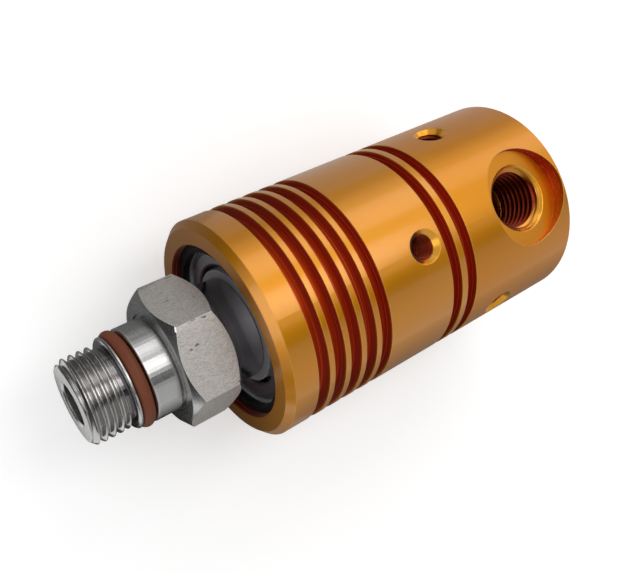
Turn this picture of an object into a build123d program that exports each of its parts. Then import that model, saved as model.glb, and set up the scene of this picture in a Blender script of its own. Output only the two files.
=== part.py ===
# Rotary union: a still, two-part housing on two ball bearings round a hollow turning rotor.
# Fluid enters the side port, passes a spring-loaded face seal and leaves through the rotor's thread.
# Millimetres. X runs along the rotor axis towards the closed end, Z points out of the inlet port.
# The origin is the centre of the hex face that seats against the driven shaft.
import os
from math import cos, radians, sin, sqrt, tan

from build123d import *

os.makedirs("parts", exist_ok=True)

# Fits
seat_gap = 0.02
running_gap = 0.05
edge = 0.3
overrun = 1.0  # how far a cutting tool runs past the face it cuts

# Rotor
bore_r = 4.0
thread_r = 8.0
thread_tip = 0.95
thread_length = 7.0
thread_relief_depth = 1.05
thread_relief_width = 1.0
pilot_r = 9.0
pilot_length = 8.5
pilot_nose_step = 0.25
pilot_nose_land = 0.6
seat_undercut = 0.4
seat_relief_width = 0.5
seat_relief_depth = 0.3
seat_relief_land = 0.6
hex_across_flats = 24.0
hex_length = 10.0
hex_turn = 7.0
hex_face_step = 0.2
hex_chamfer_length = 1.6
neck_step = 1.5
neck_length = 6.2

# Pilot ring
pilot_ring_cord = 2.4
pilot_ring_groove_depth = 2.15
pilot_ring_groove_width = 2.8

# Ball bearings, two alike
bearing_bore_r = 8.5
bearing_outer_r = 17.5
bearing_width = 10.0
ball_r = 2.381
ball_count = 10
inner_shoulder_step = 1.6
outer_shoulder_step = 1.75
cage_half_height = 0.85
cage_sheet = 0.45
shield_gap = 0.9
shield_seat_depth = 0.85
shield_seat_width = 0.9
shield_sheet = 0.3
shield_inset = 0.2
shield_step_gap = 0.15
bearing_spacing = 8.0
spacer_wall = 1.9

# Retaining rings
housing_ring_thickness = 1.5
housing_ring_groove_depth = 1.0
housing_ring_overlap = 1.6
housing_ring_offset = 0.7
rotor_ring_thickness = 1.0
rotor_ring_groove_depth = 0.4
rotor_ring_overlap = 1.4
rotor_ring_offset = 0.6
ring_lug_r = 1.9
ring_lug_hole_r = 0.8
ring_gap_half_angle = 12.0
housing_ring_eye_inset = 0.85
housing_ring_gap_half_angle = 6.0
housing_ring_gap_angle = 245.0
rotor_ring_eye_outset = 0.55
rotor_ring_gap_half_angle = 4.0
rotor_ring_gap_angle = 90.0

# Housing
housing_wall = 4.48
mouth_depth = 3.1
mouth_edge = 1.3
bore_edge = 0.16
rear_edge = 0.2
groove_width = 2.5
groove_depth = 2.3
front_groove_offset = 6.3
front_groove_pitch = 3.65
front_groove_count = 5
rear_groove_pitch = 3.95
rear_groove_count = 2
shoulder_height = 2.52
shoulder_length = 1.2
drain_length = 6.8
drain_step = 1.3
spigot_wall = 2.9
spigot_cover = 5.5
spigot_length = 7.6
spigot_end_gap = 0.2
joint_ring_groove_depth = 1.35
joint_ring_groove_width = 1.8
joint_ring_setback = 1.6

# Tapped holes of the housing
hole_r = 2.5
hole_sink = 1.05
vent_offset = 3.9
vent_angles = (90.0, 210.0, 330.0)
fixing_offset = 9.7
fixing_angles = (30.0, 150.0, 270.0)
fixing_depth = 9.0
drill_point_half_angle = 59.0

# Inlet port
port_r = 6.58
port_sink = 0.42
port_seat_land = 3.47
port_seat_depth = 3.3
port_thread_length = 11.2
port_thread_height = 0.88
port_stem_gap = 0.63
end_wall = 3.55

# Face seal
rotor_tail = 3.2
seal_socket_wall = 1.48
seal_socket_depth = 2.2
seal_ring_length = 2.8
seal_ring_bore_gap = 0.1
seal_o_ring_width = 1.1
carbon_length = 3.2
carbon_bore_gap = 0.3
carbon_nose_width = 1.3
carbon_nose_length = 0.9
carbon_shoulder = 1.3
carrier_socket_depth = 1.6
flange_rim = 0.65
flange_thickness = 3.0
flange_gap = 0.4
seal_travel = 1.5
travel_spare = 0.3
stem_wall = 2.9
stem_length = 16.6
stem_ring_groove_depth = 1.2
stem_ring_groove_width = 1.9
stem_ring_offset = 11.8
spring_length = 9.6
spring_wire_r = 0.6
spring_guide_gap = 0.95
spring_turns = 5
spring_pocket_gap = 0.5
pin_r = 1.25
pin_wall = 0.45
pin_angles = (0.0, 180.0)
pin_length = 7.8
pin_engagement = 2.4
pin_hole_gap = 0.2

# Radii of the rotor
thread_tip_r = thread_r - thread_tip
thread_relief_r = thread_r - thread_relief_depth
pilot_nose_r = pilot_r - pilot_nose_step
pilot_ring_floor_r = pilot_r - pilot_ring_groove_depth
seat_relief_r = pilot_r - seat_undercut
seat_inner_r = pilot_r + seat_relief_land
hex_face_r = hex_across_flats / 2 - hex_face_step
neck_r = bearing_bore_r + neck_step
journal_r = bearing_bore_r - seat_gap
seal_socket_r = journal_r - seal_socket_wall
seal_ring_bore_r = bore_r + seal_ring_bore_gap
rotor_ring_groove_r = journal_r - rotor_ring_groove_depth
rotor_ring_outer_r = bearing_bore_r + rotor_ring_overlap

# Radii of the bearings
ball_pitch_r = (bearing_bore_r + bearing_outer_r) / 2
race_r = ball_r + running_gap
inner_shoulder_r = ball_pitch_r - inner_shoulder_step
outer_shoulder_r = ball_pitch_r + outer_shoulder_step
shield_inner_r = inner_shoulder_r + shield_gap
shield_seat_r = outer_shoulder_r + shield_seat_depth
bearing_seat_r = bearing_outer_r + seat_gap
housing_ring_groove_r = bearing_seat_r + housing_ring_groove_depth
housing_ring_inner_r = bearing_outer_r - housing_ring_overlap

# Radii of the seal stack, from its bore outwards
carbon_bore_r = bore_r + carbon_bore_gap
carbon_nose_r = carbon_bore_r + carbon_nose_width
carrier_socket_r = carbon_nose_r + carbon_shoulder
stem_r = bore_r + stem_wall
stem_ring_floor_r = stem_r - stem_ring_groove_depth
guide_r = stem_r + running_gap
spring_r = guide_r + spring_guide_gap + spring_wire_r
spring_pocket_r = spring_r + spring_wire_r + spring_pocket_gap
pin_circle_r = spring_pocket_r + pin_wall + pin_r
flange_r = pin_circle_r + pin_r + flange_rim
spigot_bore_r = flange_r + flange_gap
spigot_r = spigot_bore_r + spigot_wall
joint_ring_floor_r = spigot_r - joint_ring_groove_depth

# Radii of the housing, which closes round the bearings and round the spigot
housing_r = max(bearing_seat_r + housing_wall, spigot_r + spigot_cover)
groove_floor_r = housing_r - groove_depth
shoulder_r = bearing_seat_r - shoulder_height
drain_r = spigot_r - drain_step
port_drill_r = port_r - port_thread_height
port_mouth_r = port_r + port_sink
port_seat_r = port_r + port_seat_land
port_seat_height = housing_r - port_seat_depth

# Stations along the axis
pilot_x = -pilot_length
thread_x = pilot_x - thread_relief_width
rotor_front_x = thread_x - thread_length
pilot_ring_x = pilot_x + pilot_nose_land
neck_x = hex_length
front_bearing_x = neck_x + neck_length
spacer_x = front_bearing_x + bearing_width
rear_bearing_x = spacer_x + bearing_spacing
bearing_end_x = rear_bearing_x + bearing_width
rotor_ring_x = bearing_end_x + seat_gap
rotor_end_x = bearing_end_x + rotor_tail
housing_x = front_bearing_x - mouth_depth
housing_ring_x = front_bearing_x - seat_gap - housing_ring_thickness
front_grooves_x = housing_x + front_groove_offset
vent_x = bearing_end_x + vent_offset
drain_x = bearing_end_x + shoulder_length
spigot_bore_x = bearing_end_x + drain_length
spigot_x = spigot_bore_x + spigot_end_gap
seam_x = spigot_x + spigot_length
rear_grooves_x = seam_x - groove_width - (rear_groove_count - 1) * rear_groove_pitch
joint_ring_x = seam_x - joint_ring_setback - joint_ring_groove_width
fixing_x = seam_x + fixing_offset
seal_socket_x = rotor_end_x - seal_socket_depth
seal_face_x = seal_socket_x + seal_ring_length
carbon_x = seal_face_x + seat_gap
carrier_socket_x = carbon_x + carbon_length
carrier_x = carrier_socket_x - carrier_socket_depth
flange_end_x = carrier_x + flange_thickness
flange_pocket_x = flange_end_x + seal_travel + travel_spare
pin_x = flange_end_x - pin_engagement
spring_floor_x = flange_end_x + spring_length
stem_ring_x = flange_end_x + stem_ring_offset
stem_end_x = flange_end_x + stem_length
port_x = stem_end_x + seal_travel + port_stem_gap + port_drill_r
chamber_end_x = port_x + guide_r
housing_end_x = chamber_end_x + end_wall


def turned(points):
    # closed (x, radius) profile swept round the rotor axis
    outline = Polyline(*[(x, 0, r) for x, r in points], close=True)
    return revolve(make_face(outline), Axis.X)


def tube(x0, x1, inner_r, outer_r, edge_break=0.0):
    # plain ring whose outer corners are broken by edge_break
    e = edge_break
    if e:
        return turned([(x0, inner_r), (x0, outer_r - e), (x0 + e, outer_r), (x1 - e, outer_r),
                       (x1, outer_r - e), (x1, inner_r)])
    return turned([(x0, inner_r), (x0, outer_r), (x1, outer_r), (x1, inner_r)])


def rod(x0, x1, r):
    # solid cylinder along the rotor axis
    return Pos((x0 + x1) / 2, 0, 0) * Rot(0, 90, 0) * Cylinder(r, x1 - x0)


def seated_ring(x0, width, inner_r, outer_r):
    # rubber ring squeezed to an oval section between its groove floor and its bore
    section = Plane.XZ * Pos(x0 + width / 2, (inner_r + outer_r) / 2) * Ellipse(
        width / 2, (outer_r - inner_r) / 2)
    return revolve(section, Axis.X)


def around(angle, shape):
    # turn a shape that points along +Z to the given angle about the rotor axis, measured from +Y
    return Rot(angle - 90, 0, 0) * shape


def upright_cylinder(x, r, z0, z1):
    return Pos(x, 0, (z0 + z1) / 2) * Cylinder(r, z1 - z0)


def upright_cone(x, bottom_r, top_r, z0, z1):
    return Pos(x, 0, (z0 + z1) / 2) * Cone(bottom_r, top_r, z1 - z0)


def tapped_hole(x, depth):
    # countersunk hole from the outside of the housing inwards, with a drill point
    floor = housing_r - depth
    point = hole_r / tan(radians(drill_point_half_angle))
    top = housing_r + overrun
    cutter = upright_cylinder(x, hole_r, floor, top)
    cutter += upright_cone(x, 0, hole_r, floor - point, floor)
    return cutter + upright_cone(x, hole_r, hole_r + hole_sink + overrun, housing_r - hole_sink, top)


def hexagon_blank():
    # wrench hex with both ends turned down at the corners
    corner_r = hex_across_flats / sqrt(3)
    prism = extrude(Plane.YZ * Rot(0, 0, hex_turn) * RegularPolygon(corner_r, 6), hex_length)
    slope, end = hex_chamfer_length, hex_length
    blank = turned([(0, 0), (0, hex_face_r), (slope, corner_r), (end - slope, corner_r), (end, hex_face_r),
                    (end, 0)])
    return prism & blank


def rotor():
    groove_x = pilot_ring_x
    groove_end = groove_x + pilot_ring_groove_width
    nose = [(rotor_front_x, 0), (rotor_front_x, thread_tip_r), (rotor_front_x + thread_tip, thread_r),
            (thread_x, thread_r), (thread_x, thread_relief_r), (pilot_x, thread_relief_r),
            (pilot_x, pilot_nose_r - edge), (pilot_x + edge, pilot_nose_r), (groove_x, pilot_nose_r),
            (groove_x, pilot_ring_floor_r), (groove_end, pilot_ring_floor_r),
            (groove_end, pilot_r - edge / 2), (groove_end + edge / 2, pilot_r),
            (-seat_relief_width, pilot_r), (-seat_relief_width, seat_relief_r),
            (overrun, seat_relief_r), (overrun, 0)]
    ring_end = bearing_end_x + rotor_ring_thickness + running_gap
    tail = [(neck_x - overrun, 0), (neck_x - overrun, neck_r), (front_bearing_x - edge, neck_r),
            (front_bearing_x, neck_r - edge), (front_bearing_x, journal_r), (bearing_end_x, journal_r),
            (bearing_end_x, rotor_ring_groove_r), (ring_end, rotor_ring_groove_r), (ring_end, journal_r),
            (rotor_end_x - edge, journal_r), (rotor_end_x, journal_r - edge), (rotor_end_x, 0)]
    body = turned(nose) + hexagon_blank() + turned(tail)
    seat_relief = tube(-overrun, seat_relief_depth, seat_relief_r, seat_inner_r)
    body -= seat_relief - rod(-2 * overrun, 0, pilot_r)
    body -= rod(seal_socket_x, rotor_end_x + overrun, seal_socket_r)
    mouth = turned([(rotor_front_x - overrun, 0), (rotor_front_x - overrun, bore_r + edge + overrun),
                    (rotor_front_x + edge, bore_r), (rotor_front_x + edge, 0)])
    return body - rod(rotor_front_x - overrun, rotor_end_x + overrun, bore_r) - mouth


def pilot_ring():
    centre = Pos(pilot_ring_x + pilot_ring_groove_width / 2, 0, 0)
    cord_r = pilot_ring_cord / 2
    return centre * Rot(0, 90, 0) * Torus(pilot_ring_floor_r + seat_gap + cord_r, cord_r)


def ball_places():
    # ball centres of a bearing whose front face is at zero
    for i in range(ball_count):
        a = radians(360 / ball_count * i)
        yield Pos(bearing_width / 2, ball_pitch_r * cos(a), ball_pitch_r * sin(a))


def race():
    # the round groove that both rings share
    return Pos(bearing_width / 2, 0, 0) * Rot(0, 90, 0) * Torus(ball_pitch_r, race_r)


def bearing_inner_ring():
    w, r = bearing_width, bearing_bore_r
    blank = turned([(0, r + edge), (0, inner_shoulder_r), (w, inner_shoulder_r), (w, r + edge),
                    (w - edge, r), (edge, r)])
    return blank - race()


def bearing_outer_ring():
    w, r = bearing_width, bearing_outer_r
    seat, deep = shield_seat_r, shield_seat_width
    blank = turned([(0, seat), (0, r - edge), (edge, r), (w - edge, r), (w, r - edge), (w, seat),
                    (w - deep, seat), (w - deep, outer_shoulder_r), (deep, outer_shoulder_r), (deep, seat)])
    return blank - race()


def bearing_balls():
    return Compound([place * Sphere(ball_r) for place in ball_places()])


def bearing_cage():
    # two pressed ribbons joined between the balls, seen as one band with round pockets
    centre = bearing_width / 2
    pocket_r = ball_r + 2 * running_gap
    reach = pocket_r + cage_sheet
    inner_r, outer_r = ball_pitch_r - cage_half_height, ball_pitch_r + cage_half_height
    band = tube(centre - cage_sheet, centre + cage_sheet, inner_r, outer_r)
    limits = tube(centre - reach, centre + reach, inner_r, outer_r)
    shells = [place * Sphere(reach) & limits for place in ball_places()]
    pockets = [place * Sphere(pocket_r) for place in ball_places()]
    return band + shells - pockets


def bearing_shields():
    # pressed sheet discs, dished at the rim where they are crimped into the outer ring
    rim = shield_seat_r - seat_gap
    step_r = outer_shoulder_r + shield_step_gap
    t, s, deep = shield_sheet, shield_inset, shield_seat_width - seat_gap
    lip = shield_inner_r + t
    outline = [(s, lip), (s, step_r - t), (deep - t, step_r), (deep - t, rim - t), (s, rim - t), (s, rim),
               (deep, rim), (deep, step_r - t), (s + t, step_r - 2 * t), (s + t, lip), (s + 2 * t, lip),
               (s + 2 * t, shield_inner_r), (s + t, shield_inner_r)]
    rear_outline = [(bearing_width - along, r) for along, r in outline]
    return Compound([turned(outline), turned(rear_outline)])


def ring_lugs(centre_r, x, thickness, towards):
    # two eyes beside the gap of a retaining ring, and the holes in them
    eyes = []
    holes = []
    for side in (-1, 1):
        a = radians(towards + side * ring_gap_half_angle)
        place = Pos(x + thickness / 2, centre_r * cos(a), centre_r * sin(a)) * Rot(0, 90, 0)
        eyes.append(place * Cylinder(ring_lug_r, thickness))
        holes.append(place * Cylinder(ring_lug_hole_r, thickness + overrun))
    return eyes, holes


def ring_gap(x, thickness, towards, half_angle):
    # wedge that opens a retaining ring between its eyes
    corners = [(0, 0)]
    for side in (-1, 1):
        a = radians(towards + side * half_angle)
        corners.append((housing_r * cos(a), housing_r * sin(a)))
    wedge = extrude(Plane.YZ * make_face(Polyline(*corners, close=True)), thickness + 2 * overrun)
    return Pos(x - overrun, 0, 0) * wedge


def housing_retaining_ring():
    # spring ring in the housing's mouth: outer rim true, inner rim set over towards the gap
    x, thickness, towards = housing_ring_x, housing_ring_thickness, housing_ring_gap_angle
    a = radians(towards)
    whole = rod(x, x + thickness, housing_ring_groove_r - running_gap)
    hollow = Pos(0, housing_ring_offset * cos(a), housing_ring_offset * sin(a)) * rod(
        x - overrun, x + thickness + overrun, housing_ring_inner_r)
    eyes, holes = ring_lugs(housing_ring_inner_r - housing_ring_eye_inset, x, thickness, towards)
    body = whole - hollow + [eye & whole for eye in eyes] - holes
    return body - ring_gap(x, thickness, towards, housing_ring_gap_half_angle)


def rotor_retaining_ring():
    # spring ring behind the rear bearing: inner rim true, outer rim set over away from the gap
    x, thickness, towards = rotor_ring_x, rotor_ring_thickness, rotor_ring_gap_angle
    a = radians(towards)
    outer = Pos(0, -rotor_ring_offset * cos(a), -rotor_ring_offset * sin(a)) * rod(
        x, x + thickness, rotor_ring_outer_r)
    eyes, holes = ring_lugs(rotor_ring_outer_r + rotor_ring_eye_outset, x, thickness, towards)
    hollow = rod(x - overrun, x + thickness + overrun, rotor_ring_groove_r + running_gap)
    body = outer + eyes - hollow - holes
    return body - ring_gap(x, thickness, towards, rotor_ring_gap_half_angle)


def outer_spacer():
    r = bearing_outer_r - seat_gap
    return tube(spacer_x, rear_bearing_x, r - spacer_wall, r, edge)


def inner_spacer():
    return tube(spacer_x, rear_bearing_x, bearing_bore_r, bearing_bore_r + spacer_wall, edge)


def cooling_grooves(start_x, pitch, count):
    starts = [start_x + pitch * i for i in range(count)]
    return [tube(x, x + groove_width, groove_floor_r, housing_r + overrun) for x in starts]


def bearing_housing():
    x0, x1, r, e = housing_x, seam_x, housing_r, mouth_edge
    ring_x = housing_ring_x - seat_gap
    body = turned([(x0, bearing_seat_r + bore_edge), (x0, r - e), (x0 + e, r), (x1, r), (x1, spigot_r),
                   (spigot_bore_x, spigot_r), (spigot_bore_x, drain_r), (drain_x, drain_r),
                   (drain_x, shoulder_r), (bearing_end_x, shoulder_r), (bearing_end_x, bearing_seat_r),
                   (front_bearing_x, bearing_seat_r), (front_bearing_x, housing_ring_groove_r),
                   (ring_x, housing_ring_groove_r), (ring_x, bearing_seat_r),
                   (x0 + bore_edge, bearing_seat_r)])
    body -= cooling_grooves(front_grooves_x, front_groove_pitch, front_groove_count)
    body -= cooling_grooves(rear_grooves_x, rear_groove_pitch, rear_groove_count)
    vent = tapped_hole(vent_x, housing_r - drain_r + hole_r)
    return body - [around(angle, vent) for angle in vent_angles]


def inlet_port():
    x, seat = port_x, port_seat_height
    cutter = upright_cylinder(x, port_seat_r, seat, housing_r + overrun)
    cutter += upright_cone(x, port_r, port_mouth_r, seat - port_sink, seat)
    cutter += upright_cylinder(x, port_r, seat - port_thread_length, seat)
    return cutter + upright_cylinder(x, port_drill_r, 0, seat)


def end_housing():
    spigot = spigot_r - seat_gap
    groove_x, groove_end = joint_ring_x, joint_ring_x + joint_ring_groove_width
    body = turned([(spigot_x, 0), (spigot_x, spigot - edge), (spigot_x + edge, spigot), (groove_x, spigot),
                   (groove_x, joint_ring_floor_r), (groove_end, joint_ring_floor_r), (groove_end, spigot),
                   (seam_x, spigot), (seam_x, housing_r), (housing_end_x - rear_edge, housing_r),
                   (housing_end_x, housing_r - rear_edge), (housing_end_x, 0)])
    body -= rod(spigot_x - overrun, flange_pocket_x, spigot_bore_r)
    body -= rod(spigot_x - overrun, spring_floor_x, spring_pocket_r)
    body -= rod(spigot_x - overrun, chamber_end_x, guide_r)
    pin_hole = pin_cylinder(spigot_x, pin_x + pin_length + seat_gap, pin_r + seat_gap)
    body -= [around(angle, pin_hole) for angle in pin_angles]
    fixing = tapped_hole(fixing_x, fixing_depth)
    body -= [around(angle, fixing) for angle in fixing_angles]
    return body - inlet_port()


def pin_cylinder(x0, x1, r):
    # pin along the rotor axis, on the pin circle above it
    return Pos(0, 0, pin_circle_r) * rod(x0, x1, r)


def rotating_seal_ring():
    back = seal_socket_x
    o_ring_r = seal_socket_r - seal_o_ring_width
    return turned([(back, seal_ring_bore_r), (back, o_ring_r), (back + seal_o_ring_width, o_ring_r),
                   (back + seal_o_ring_width, seal_socket_r - seat_gap),
                   (seal_face_x - edge, seal_socket_r - seat_gap),
                   (seal_face_x, seal_socket_r - seat_gap - edge), (seal_face_x, seal_ring_bore_r)])


def seal_ring_o_ring():
    w = seal_o_ring_width
    return seated_ring(seal_socket_x + seat_gap, w - 2 * seat_gap, seal_socket_r - w + seat_gap,
                       seal_socket_r - seat_gap)


def carbon_seal_ring():
    r = carrier_socket_r - seat_gap
    nose_x = carbon_x + carbon_nose_length
    return turned([(carbon_x, carbon_bore_r), (carbon_x, carbon_nose_r), (nose_x, carbon_nose_r),
                   (nose_x, r - edge), (nose_x + edge, r), (carrier_socket_x, r),
                   (carrier_socket_x, carbon_bore_r)])


def seal_carrier():
    x0, x1 = carrier_x, flange_end_x
    groove_end = stem_ring_x + stem_ring_groove_width
    body = turned([(x0, carrier_socket_r), (x0, flange_r - edge), (x0 + edge, flange_r), (x1, flange_r),
                   (x1, stem_r), (stem_ring_x, stem_r), (stem_ring_x, stem_ring_floor_r),
                   (groove_end, stem_ring_floor_r), (groove_end, stem_r), (stem_end_x - edge, stem_r),
                   (stem_end_x, stem_r - edge), (stem_end_x, bore_r), (carrier_socket_x, bore_r),
                   (carrier_socket_x, carrier_socket_r)])
    pin_hole = pin_cylinder(x0 - overrun, x1 + overrun, pin_r + pin_hole_gap)
    return body - [around(angle, pin_hole) for angle in pin_angles]


def carrier_o_ring():
    return seated_ring(stem_ring_x + seat_gap, stem_ring_groove_width - 2 * seat_gap,
                       stem_ring_floor_r + seat_gap, guide_r - running_gap)


def housing_joint_o_ring():
    return seated_ring(joint_ring_x + seat_gap, joint_ring_groove_width - 2 * seat_gap,
                       joint_ring_floor_r + seat_gap, spigot_r - seat_gap)


def seal_spring():
    # open-wound coil between the carrier's flange and the floor of its pocket
    span = spring_length - 2 * (spring_wire_r + seat_gap)
    pitch = span / spring_turns
    start = Vector(flange_end_x + spring_wire_r + seat_gap, 0, 0)
    coil = Helix(pitch, span, spring_r, center=start, direction=(1, 0, 0))
    section = Plane(origin=coil @ 0, z_dir=coil % 0) * Circle(spring_wire_r)
    return sweep(section, path=coil, is_frenet=True)


def anti_rotation_pins():
    pin = pin_cylinder(pin_x, pin_x + pin_length, pin_r)
    pin = chamfer(pin.edges().sort_by(Axis.X)[0], edge)
    return Compound([around(angle, pin) for angle in pin_angles])


def bearing():
    # pieces of one shielded ball bearing, by name
    return {
        "outer_ring": bearing_outer_ring(),
        "inner_ring": bearing_inner_ring(),
        "balls": bearing_balls(),
        "cage": bearing_cage(),
        "shields": bearing_shields(),
    }


pieces = {
    "rotor": rotor(),
    "pilot_o_ring": pilot_ring(),
    "bearing_housing": bearing_housing(),
    "end_housing": end_housing(),
    "housing_joint_o_ring": housing_joint_o_ring(),
    "housing_retaining_ring": housing_retaining_ring(),
    "rotor_retaining_ring": rotor_retaining_ring(),
    "outer_spacer": outer_spacer(),
    "inner_spacer": inner_spacer(),
    "rotating_seal_ring": rotating_seal_ring(),
    "seal_ring_o_ring": seal_ring_o_ring(),
    "carbon_seal_ring": carbon_seal_ring(),
    "seal_carrier": seal_carrier(),
    "carrier_o_ring": carrier_o_ring(),
    "seal_spring": seal_spring(),
    "anti_rotation_pins": anti_rotation_pins(),
}
for name, piece in bearing().items():
    pieces["front_bearing_" + name] = Pos(front_bearing_x, 0, 0) * piece
    pieces["rear_bearing_" + name] = Pos(rear_bearing_x, 0, 0) * piece

for node, piece in pieces.items():
    export_step(piece, f"parts/{node}.step")
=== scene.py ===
from math import cos, pi, radians, sin

import bmesh
import bpy
from mathutils import Matrix, Vector


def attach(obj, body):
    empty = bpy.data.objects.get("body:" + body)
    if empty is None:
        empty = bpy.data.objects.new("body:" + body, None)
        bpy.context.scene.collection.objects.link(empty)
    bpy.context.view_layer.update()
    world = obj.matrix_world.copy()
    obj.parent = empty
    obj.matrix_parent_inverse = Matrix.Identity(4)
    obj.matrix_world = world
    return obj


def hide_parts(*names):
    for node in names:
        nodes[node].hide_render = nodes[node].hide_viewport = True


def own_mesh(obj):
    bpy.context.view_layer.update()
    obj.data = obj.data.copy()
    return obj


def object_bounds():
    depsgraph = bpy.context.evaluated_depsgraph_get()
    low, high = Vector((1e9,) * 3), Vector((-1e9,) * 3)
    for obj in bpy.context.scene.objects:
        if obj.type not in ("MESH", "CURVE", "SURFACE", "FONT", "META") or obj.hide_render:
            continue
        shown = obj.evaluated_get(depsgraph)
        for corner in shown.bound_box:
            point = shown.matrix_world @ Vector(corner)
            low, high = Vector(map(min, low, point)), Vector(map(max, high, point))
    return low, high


mm = 0.001
weld = 0.0000005                        # m, joins the loose triangles of a copied CAD mesh
white = (1, 1, 1, 1)

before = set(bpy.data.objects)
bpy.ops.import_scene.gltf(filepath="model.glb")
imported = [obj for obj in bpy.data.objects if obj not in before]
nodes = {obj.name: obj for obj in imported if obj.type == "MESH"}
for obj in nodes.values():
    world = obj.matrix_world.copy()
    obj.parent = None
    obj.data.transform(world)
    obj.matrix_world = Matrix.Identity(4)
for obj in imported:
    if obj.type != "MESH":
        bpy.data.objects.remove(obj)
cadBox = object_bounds()
floorHeight = cadBox[0][2] / mm         # the housing lies on the table
print("frame loaded:", len(nodes), "nodes")


def addObject(name, data):
    thing = bpy.data.objects.new(name, data)
    bpy.context.scene.collection.objects.link(thing)
    return thing


# camera, from the ellipses of the housing and the hex in the photograph
cameraSet = {
    "place": (-37.64, 14.74, 133.12),   # mm
    "lookAt": (32.73, -1.03, 0.12),
    "roll": 77.93,                      # degrees, the union lies across the picture
    "lens": 43.454,
    "sensor": 36,
    "shift": (0.01314, 0.01675),
    "nearest": 5,                       # mm, nothing closer is drawn
}


def makeCamera(values):
    data = bpy.data.cameras.new("camera")
    data.lens = values["lens"]
    data.sensor_width = values["sensor"]
    data.shift_x, data.shift_y = values["shift"]
    data.clip_start = values["nearest"] * mm
    camera = addObject("camera", data)
    place = Vector(values["place"]) * mm
    aim = (Vector(values["lookAt"]) * mm - place).to_track_quat("-Z", "Y")
    spin = Matrix.Rotation(radians(values["roll"]), 4, "Z")
    camera.matrix_world = Matrix.Translation(place) @ aim.to_matrix().to_4x4() @ spin
    bpy.context.scene.camera = camera


makeCamera(cameraSet)


# node helpers
def addNode(tree, kind, inputs=None, **settings):
    # a node with its settings, values and links in one call
    node = tree.nodes.new(kind)
    for name, value in settings.items():
        setattr(node, name, value)
    for name, value in (inputs or {}).items():
        if isinstance(value, bpy.types.NodeSocket):
            tree.links.new(value, node.inputs[name])
        else:
            node.inputs[name].default_value = value
    return node


def calc(tree, operation, *values, clamp=False):
    inputs = dict(enumerate(values))
    return addNode(tree, "ShaderNodeMath", inputs, operation=operation, use_clamp=clamp).outputs[0]


def times(tree, *values):
    total = values[0]
    for value in values[1:]:
        total = calc(tree, "MULTIPLY", total, value)
    return total


def largest(tree, *values):
    total = values[0]
    for value in values[1:]:
        total = calc(tree, "MAXIMUM", total, value)
    return total


def ramp(tree, value, span, ends=(0.0, 1.0), shape="LINEAR"):
    return addNode(tree, "ShaderNodeMapRange", {
        "Value": value, "From Min": span[0], "From Max": span[1],
        "To Min": ends[0], "To Max": ends[1]}, interpolation_type=shape).outputs["Result"]


def softly(tree, value, span):
    # 0 at the span's first number, 1 at its second
    return ramp(tree, value, span, shape="SMOOTHSTEP")


def noise(tree, place, scale, detail, rough=0.5):
    return addNode(tree, "ShaderNodeTexNoise", {
        "Vector": place, "Scale": scale, "Detail": detail, "Roughness": rough}).outputs["Fac"]


def objectCoords(tree):
    return addNode(tree, "ShaderNodeTexCoord").outputs["Object"]


def addSocket(tree, name, way, kind, value=None):
    socket = tree.interface.new_socket(name, in_out=way, socket_type="NodeSocket" + kind)
    if value is not None:
        socket.default_value = value


def useGroup(tree, group, inputs=None):
    return addNode(tree, "ShaderNodeGroup", inputs, node_tree=group).outputs


# studio: white table, three softboxes, and dark cards that only the shiny parts see: painted dark
# reflections around the union
studio = {
    "floorSize": 4000,                  # mm, as everything here
    "floorColor": (0.88, 0.88, 0.88, 1),
    "floorRoughness": 0.9,
    "floorGlow": 0.29,                  # lifts the table to white where it is seen or mirrored
    "world": 0.62,
    "cardLift": 0.4,                    # of the cards that lie on the table
}
lamps = {
    "sideBox": {"angle": 43, "reach": 400, "x": 330, "size": (560, 185), "watts": 0.38},
    "topBox": {"angle": 82, "reach": 400, "x": 190, "size": (300, 160), "watts": 0.34},
    "frontBox": {"angle": 88, "reach": 190, "x": -290, "aim": 20, "size": (170, 260), "watts": 0.22},
}
hungCards = {
    "blackCard": {"angle": 116, "reach": 360, "x": 240, "size": (620, 120), "grey": 0.03},
    "rightCard": {"angle": 6, "reach": 300, "x": 180, "size": (700, 90), "grey": 0.34},
}
frontCard = {"x": -260, "y": (-350, 350), "height": 90, "grey": 0.03}
fadedCards = {
    "tableCard": {"x": (-20, 36), "y": (-310, 310), "greys": (0.22, 0.75), "reach": (28, 150)},
    "leftCard": {"x": (36, 420), "y": (-310, 0), "greys": (0.08, 0.42), "reach": (28, 150)},
}
laidCards = {
    "aheadCard": {"x": (-260, -60), "y": (-350, 350), "grey": 0.05},
    "besideCard": {"x": (-60, -20), "y": (18, 350), "grey": 0.12},
    # the under card is painted shade: the table under the union, dark as the metal mirrors it
    "underCard": {"x": (-20, 12), "y": (-30, 4), "grey": 0.04, "lift": 0.8},
    "rightTableCard": {"x": (36, 420), "y": (0, 310), "grey": 0.5},
}


def faceAxis(thing, values):
    # puts a lamp or a card at its angle about the rotor axis, 0 along +Y and 90 straight up,
    # and turns it to the axis, straight or at the station it aims at
    angle = radians(values["angle"])
    reach = values["reach"]
    place = Vector((values["x"], reach * cos(angle), reach * sin(angle))) * mm
    outward = (place - Vector((values.get("aim", values["x"]) * mm, 0, 0))).normalized()
    side = outward.cross(Vector((1, 0, 0))).normalized()
    turn = Matrix((side.cross(outward), side, outward)).transposed().to_4x4()
    thing.matrix_world = Matrix.Translation(place) @ turn


def makeLamp(name, values):
    data = bpy.data.lights.new(name, "AREA")
    data.shape = "RECTANGLE"
    data.size = values["size"][0] * mm
    data.size_y = values["size"][1] * mm
    data.energy = values["watts"]
    faceAxis(addObject(name, data), values)


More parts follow.
